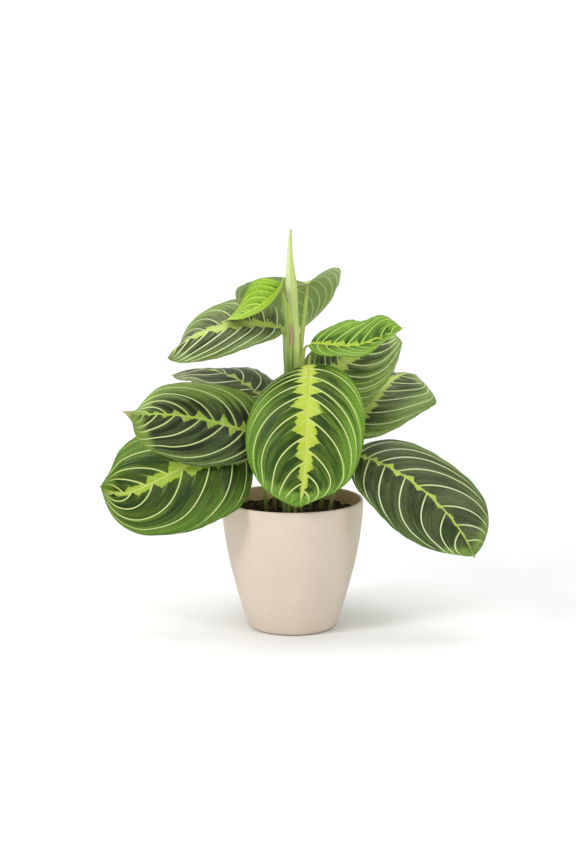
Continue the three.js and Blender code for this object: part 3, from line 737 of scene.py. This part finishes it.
def leaf_face(name, deep, dull, margin, light, lime, tooth, vein, tooth_form, patch_reach):
    """Upper face of a blade: waxed living tissue, satin. Its pattern follows the vein numbers."""
    material, add, shader = start_material(name)
    (number, at_rib, per_mm, rib_mm, lime_share, edge, along, seed, green_band, dry_tip, half_tone_and_painted_light,
     half_sheen_and_bloom, half_dark) = (
        add("Attribute", attribute_name=stored).outputs["Fac"]
        for stored in ("vein", "vein_at_rib", "vein_per_mm", "rib_mm", "lime_share", "edge",
                       "along", "leaf_seed", "green_band", "dry_tip", "tone", "sheen_and_bloom", "dark"))
    place = add("TexCoord").outputs["Object"]

    # grain drawn out along the veins: striations about 1 mm apart, broad clouds and fine threads
    grains = []
    for across, outward, scale, detail, rough in ((13, 1.6, 1, 3, 0.6), (2.2, 1.6, 1.3, 1, 0.5),
                                                  (21, 4, 1, 2, 0.5)):
        steps = add("Math", {0: number, 1: across}, operation="MULTIPLY")
        run = add("Math", {0: edge, 1: outward}, operation="MULTIPLY")
        drawn = add("CombineXYZ", {"X": steps, "Y": run, "Z": seed})
        grains.append(add("TexNoise", {"Vector": drawn, "Scale": scale, "Detail": detail,
                                       "Roughness": rough}))
    stria, cloud, thread = grains
    # groups of cells, 1.6 mm across
    cells = add("TexNoise", {"Vector": place, "Scale": 620, "Detail": 2})

    # dark patch between the veins, feathered out towards the margin along the striations
    feather = add("Math", {0: stria, 1: 0.6, 2: -0.3}, operation="MULTIPLY_ADD")
    feather = add("Math", {0: cloud, 1: 0.5, 2: feather}, operation="MULTIPLY_ADD")
    outward = add("Math", {0: edge, 1: feather}, operation="ADD")
    outward = add("Math", {0: outward, 1: half_dark}, operation="SUBTRACT")
    tipward = add("MapRange", {"Value": along, "From Min": 0.84, "From Max": 0.98, "To Max": 1.1})
    outward = add("Math", {0: outward, 1: tipward}, operation="ADD")
    outer = add("MapRange", {"Value": outward, "From Min": patch_reach - 0.3,
                             "From Max": patch_reach + 0.3}, interpolation_type="SMOOTHSTEP")
    clouded = add("MapRange", {"Value": cloud, "From Min": 0.38, "From Max": 0.62})
    patch = add("Mix", {"Factor": clouded, 6: deep, 7: dull})
    ground = add("Mix", {"Factor": outer, 6: patch, 7: margin})
    # paler streaks near the margin
    streak = add("MapRange", {"Value": stria, "From Min": 0.48, "From Max": 0.64, "To Max": 0.85})
    streak = add("Math", {0: streak, 1: outer}, operation="MULTIPLY")
    streaked = add("Mix", {"Factor": streak, 6: ground, 7: light})
    # cells and threads make the tissue lighter and darker
    speck = add("MapRange", {"Value": cells, "From Min": 0.3, "From Max": 0.7, "To Min": 0.82,
                             "To Max": 1.18})
    hue = add("MapRange", {"Value": cells, "From Min": 0.3, "From Max": 0.7, "To Min": 0.51,
                           "To Max": 0.49})
    threads = add("MapRange", {"Value": thread, "From Min": 0.36, "From Max": 0.64, "To Min": 0.76,
                               "To Max": 1.24})
    value = add("Math", {0: speck, 1: threads}, operation="MULTIPLY")
    # painted light and shade: the `tone` of each leaf and half makes it lighter or darker, partly
    # its own colour and partly making up for how the lamps light it
    value = add("Math", {0: value, 1: half_tone_and_painted_light}, operation="MULTIPLY")
    tissue = add("HueSaturation", {"Color": streaked, "Hue": hue, "Value": value})

    # the yellow green band: teeth that lean towards the tip, one between each two veins
    last_vein = add("Math", {0: number}, operation="FLOOR")
    beyond_it = add("Math", {0: at_rib, 1: last_vein}, operation="SUBTRACT")
    teeth = add("ValToRGB", {"Fac": beyond_it})
    while len(teeth.color_ramp.elements) < len(tooth_form):
        teeth.color_ramp.elements.new(0.5)
    for stop, (at, reach) in zip(teeth.color_ramp.elements, tooth_form):
        stop.position = at
        stop.color = (reach, reach, reach, 1)
    ragged = add("Math", {0: stria, 1: 0.5, 2: -0.25}, operation="MULTIPLY_ADD")
    share_out = add("Math", {0: lime_share, 1: ragged}, operation="ADD")
    unbroken = add("MapRange", {"Value": along, "From Min": 0.04, "From Max": 0.3,
                                "To Min": 0.25 + 0.8 * tooth_form[0][1], "To Max": 0.1})
    reaches = add("Math", {0: teeth, 1: unbroken}, operation="MAXIMUM")
    inside_band = add("Math", {0: reaches, 1: share_out}, operation="SUBTRACT")
    band = add("MapRange", {"Value": inside_band, "From Min": -0.04, "From Max": 0.06},
               interpolation_type="SMOOTHSTEP")
    # it is greener towards the points of the teeth, with pale streaks along the veins
    pointward = add("MapRange", {"Value": lime_share, "From Min": 0.3, "From Max": 0.95,
                                 "To Max": 0.75})
    turned = add("Math", {0: pointward, 1: green_band}, operation="MAXIMUM")
    greener = add("Mix", {"Factor": turned, 6: lime, 7: tooth})
    pale_streak = add("MapRange", {"Value": stria, "From Min": 0.48, "From Max": 0.72,
                                   "To Max": 0.6})
    warm = add("Mix", {"Factor": pale_streak, 6: greener, 7: vein})
    banded = add("Mix", {"Factor": band, 6: tissue, 7: warm})

    # side veins: 1.5 mm wide at the midrib, under 1 mm at the margin, and they fade just before it
    off = add("Math", {0: number, 1: 0.5}, operation="PINGPONG")
    off_mm = add("Math", {0: off, 1: per_mm}, operation="DIVIDE")
    half_wide = add("MapRange", {"Value": edge, "To Min": 0.76, "To Max": 0.42})
    ratio = add("Math", {0: off_mm, 1: half_wide}, operation="DIVIDE")
    on_vein = add("MapRange", {"Value": ratio, "From Min": 1.25, "From Max": 0.6},
                  interpolation_type="SMOOTHSTEP")
    fade = add("MapRange", {"Value": edge, "From Min": 0.98, "From Max": 0.84})
    fade_tip = add("MapRange", {"Value": along, "From Min": 0.985, "From Max": 0.91})
    faded = add("Math", {0: fade, 1: fade_tip}, operation="MULTIPLY")
    side_vein = add("Math", {0: on_vein, 1: faded}, operation="MULTIPLY")
    # a thin streak runs on from the point of each tooth
    share = add("Math", {0: number}, operation="FRACT")
    aside = add("Math", {0: share, 1: 0.46}, operation="SUBTRACT")
    aside = add("Math", {0: aside}, operation="ABSOLUTE")
    aside_mm = add("Math", {0: aside, 1: per_mm}, operation="DIVIDE")
    thin = add("MapRange", {"Value": aside_mm, "From Min": 0.42, "From Max": 0.16})
    runs_out = add("MapRange", {"Value": lime_share, "From Min": 2.1, "From Max": 1.1,
                                "To Max": 1.2 * tooth_form[0][1]})
    on_middle = add("MapRange", {"Value": along, "From Min": 0.2, "From Max": 0.3})
    runs_out = add("Math", {0: runs_out, 1: on_middle}, operation="MULTIPLY")
    tail = add("Math", {0: thin, 1: runs_out}, operation="MULTIPLY")
    lines = add("Math", {0: side_vein, 1: tail}, operation="MAXIMUM")
    rib_line = add("MapRange", {"Value": rib_mm, "From Min": 1.1, "From Max": 0.5, "To Max": 0.8})
    rib_line = add("Math", {0: rib_line, 1: fade_tip}, operation="MULTIPLY")
    lines = add("Math", {0: lines, 1: rib_line}, operation="MAXIMUM")
    # the veins are as yellow green as the band where they leave the midrib, and pale farther out
    paler = add("MapRange", {"Value": edge, "From Min": 0.02, "From Max": 0.3,
                             "To Min": 1.1 * tooth_form[0][1]})
    vein_tone = add("Mix", {"Factor": paler, 6: lime, 7: vein})
    veined = add("Mix", {"Factor": lines, 6: banded, 7: vein_tone})
    # a hair-thin brownish line lies in the groove over the midrib, near the base
    in_groove = add("MapRange", {"Value": rib_mm, "From Min": 0.5, "From Max": 0.2})
    near_base = add("MapRange", {"Value": along, "From Min": 0.42, "From Max": 0.2, "To Max": 0.7})
    brown_line = add("Math", {0: in_groove, 1: near_base}, operation="MULTIPLY")
    lined = add("Mix", {"Factor": brown_line, 6: veined, 7: "#8E8444"})
    # old tissue: the very tip is dry and grey brown. A cloudy grey veil lies on the blades: partly
    # grey bloom of ageing tissue, partly painted sheen that stands in for reflected light
    dry = add("MapRange", {"Value": dry_tip, "From Min": 0.3, "From Max": 0.6})
    dried = add("Mix", {"Factor": dry, 6: lined, 7: "#A8996A"})
    sheen_and_bloom = add("Math", {0: cloud, 1: half_sheen_and_bloom}, operation="MULTIPLY")
    with_sheen_and_bloom = add("Mix", {"Factor": sheen_and_bloom, 6: dried, 7: "#92966E"})
    height = add("Math", {0: stria, 1: -0.5, 2: lines}, operation="MULTIPLY_ADD")
    relief = add("Bump", {"Height": height, "Strength": 0.4, "Distance": 0.00025})
    fill_inputs(shader, {"Base Color": with_sheen_and_bloom, "Normal": relief, "Roughness": 0.48, "IOR": 1.42,
                         "Specular IOR Level": 0.28})
    return material


# Each: dark patch, its duller part, margin, light streaks, band, greener band, veins; form of the
# teeth; how far out the dark patches reach.
FACES = {
    "fresh": leaf_face("fresh_leaf_face", "#223E02", "#46600F", "#5C8422", "#88AC42", "#B5C63A",
                       "#8DB02C", "#CBD98A", BROAD_TEETH, 0.9),
    "bright": leaf_face("bright_young_leaf_face", "#264704", "#4A7616", "#6A9226", "#8CB23C",
                        "#B0C636", "#92B830", "#AECB66", BROAD_TEETH, 0.7),
    "mature": leaf_face("mature_leaf_face", "#1B250C", "#3B4A27", "#627A2E", "#8BA24E", "#A3B93A",
                        "#7A9E2A", "#C9DC92", SMALL_TEETH, 0.9),
    "olive": leaf_face("olive_mature_leaf_face", "#283616", "#3F4B28", "#58762C", "#869E4C",
                       "#A9BF3C", "#A2BE46", "#DCE8B6", SMALL_TEETH, 0.9),
    "light": leaf_face("pale_mature_leaf_face", "#38451E", "#586838", "#6A823A", "#98B060",
                       "#B6C950", "#8DA83A", "#D0DCA6", BROAD_TEETH, 0.88),
    "greyed": leaf_face("ageing_leaf_face", "#2C331C", "#464C32", "#626F42", "#909C6C", "#9AAE50",
                        "#82983C", "#D2DEAE", SMALL_TEETH, 0.9),
    "young": leaf_face("young_leaf_face", "#34701A", "#5C9420", "#7FA824", "#A2C238", "#B2CA3A",
                       "#96BC2A", "#B0CE4E", BROAD_TEETH, 0.42),
}

# Lower face: no wax bloom and no pattern, pale grey green, the veins a little lighter and raised.
under_face, add, shader = start_material("pale_leaf_underside")
number, per_mm, by_rib = (add("Attribute", attribute_name=stored).outputs["Fac"]
                          for stored in ("vein", "vein_per_mm", "lime_share"))
place = add("TexCoord").outputs["Object"]
cloud = add("TexNoise", {"Vector": place, "Scale": 55, "Detail": 3})
ground = add("Mix", {"Factor": cloud, 6: "#86A34C", 7: "#A8BF72"})
inner = add("MapRange", {"Value": by_rib, "From Min": 1.4, "From Max": 0.3, "To Max": 0.6})
ground = add("Mix", {"Factor": inner, 6: ground, 7: "#C3D684"})
off = add("Math", {0: number, 1: 0.5}, operation="PINGPONG")
off_mm = add("Math", {0: off, 1: per_mm}, operation="DIVIDE")
on_vein = add("MapRange", {"Value": off_mm, "From Min": 1, "From Max": 0.3, "To Max": 0.8})
veined = add("Mix", {"Factor": on_vein, 6: ground, 7: "#D6E6AE"})
relief = add("Bump", {"Height": on_vein, "Strength": 0.5, "Distance": 0.0003})
fill_inputs(shader, {"Base Color": veined, "Normal": relief, "Roughness": 0.55, "IOR": 1.42})

# Stalk: green juicy stem with fine fibres, its swollen joint under the blade brownish.
stalk_skin, add, shader, skin = stem_material("living_leaf_stalk", "#88A448", "#B8CE62",
                                              "#C8DA90", (0, 85))
swelling, under_rib = (add("Attribute", attribute_name=stored).outputs["Fac"]
                       for stored in ("swelling", "under_blade"))
browned = add("Math", {0: swelling, 1: 0.45}, operation="MULTIPLY")
joint = add("Mix", {"Factor": browned, 6: skin, 7: "#8A6F3E"})
paled = add("Math", {0: under_rib, 1: 0.7}, operation="MULTIPLY")
ribbed = add("Mix", {"Factor": paled, 6: joint, 7: "#B4C98A"})
# the lowest end darkens to brown from 140 mm down to 110 mm, by the soil
place = add("TexCoord").outputs["Object"]
height = add("SeparateXYZ", {0: place}).outputs["Z"]
at_soil = add("MapRange", {"Value": height, "From Min": 0.14, "From Max": 0.11, "To Max": 0.8})
darker_at_foot = add("Mix", {"Factor": at_soil, 6: ribbed, 7: "#5C4A30"})
fill_inputs(shader, {"Base Color": darker_at_foot})

for order, (name, leaf) in enumerate(LEAVES.items()):
    finish = "young_leaf" if leaf["face"] == "young" else "leaf"
    piece = blade(name + "_blade", leaf, 3.7 * order)
    piece.data.materials.append(FACES[leaf["face"]])
    piece.data.materials.append(under_face)
    thickness = piece.modifiers.new("thickness", "SOLIDIFY")
    thickness.thickness = BLADE_THICKNESS * MM
    thickness.offset = 0
    thickness.material_offset = 1
    bpy.ops.object.modifier_apply(modifier=thickness.name)
    carry(piece, finish, name)
    tube = leaf_stalk(name, leaf)
    tube.data.materials.append(stalk_skin)
    carry(tube, finish)
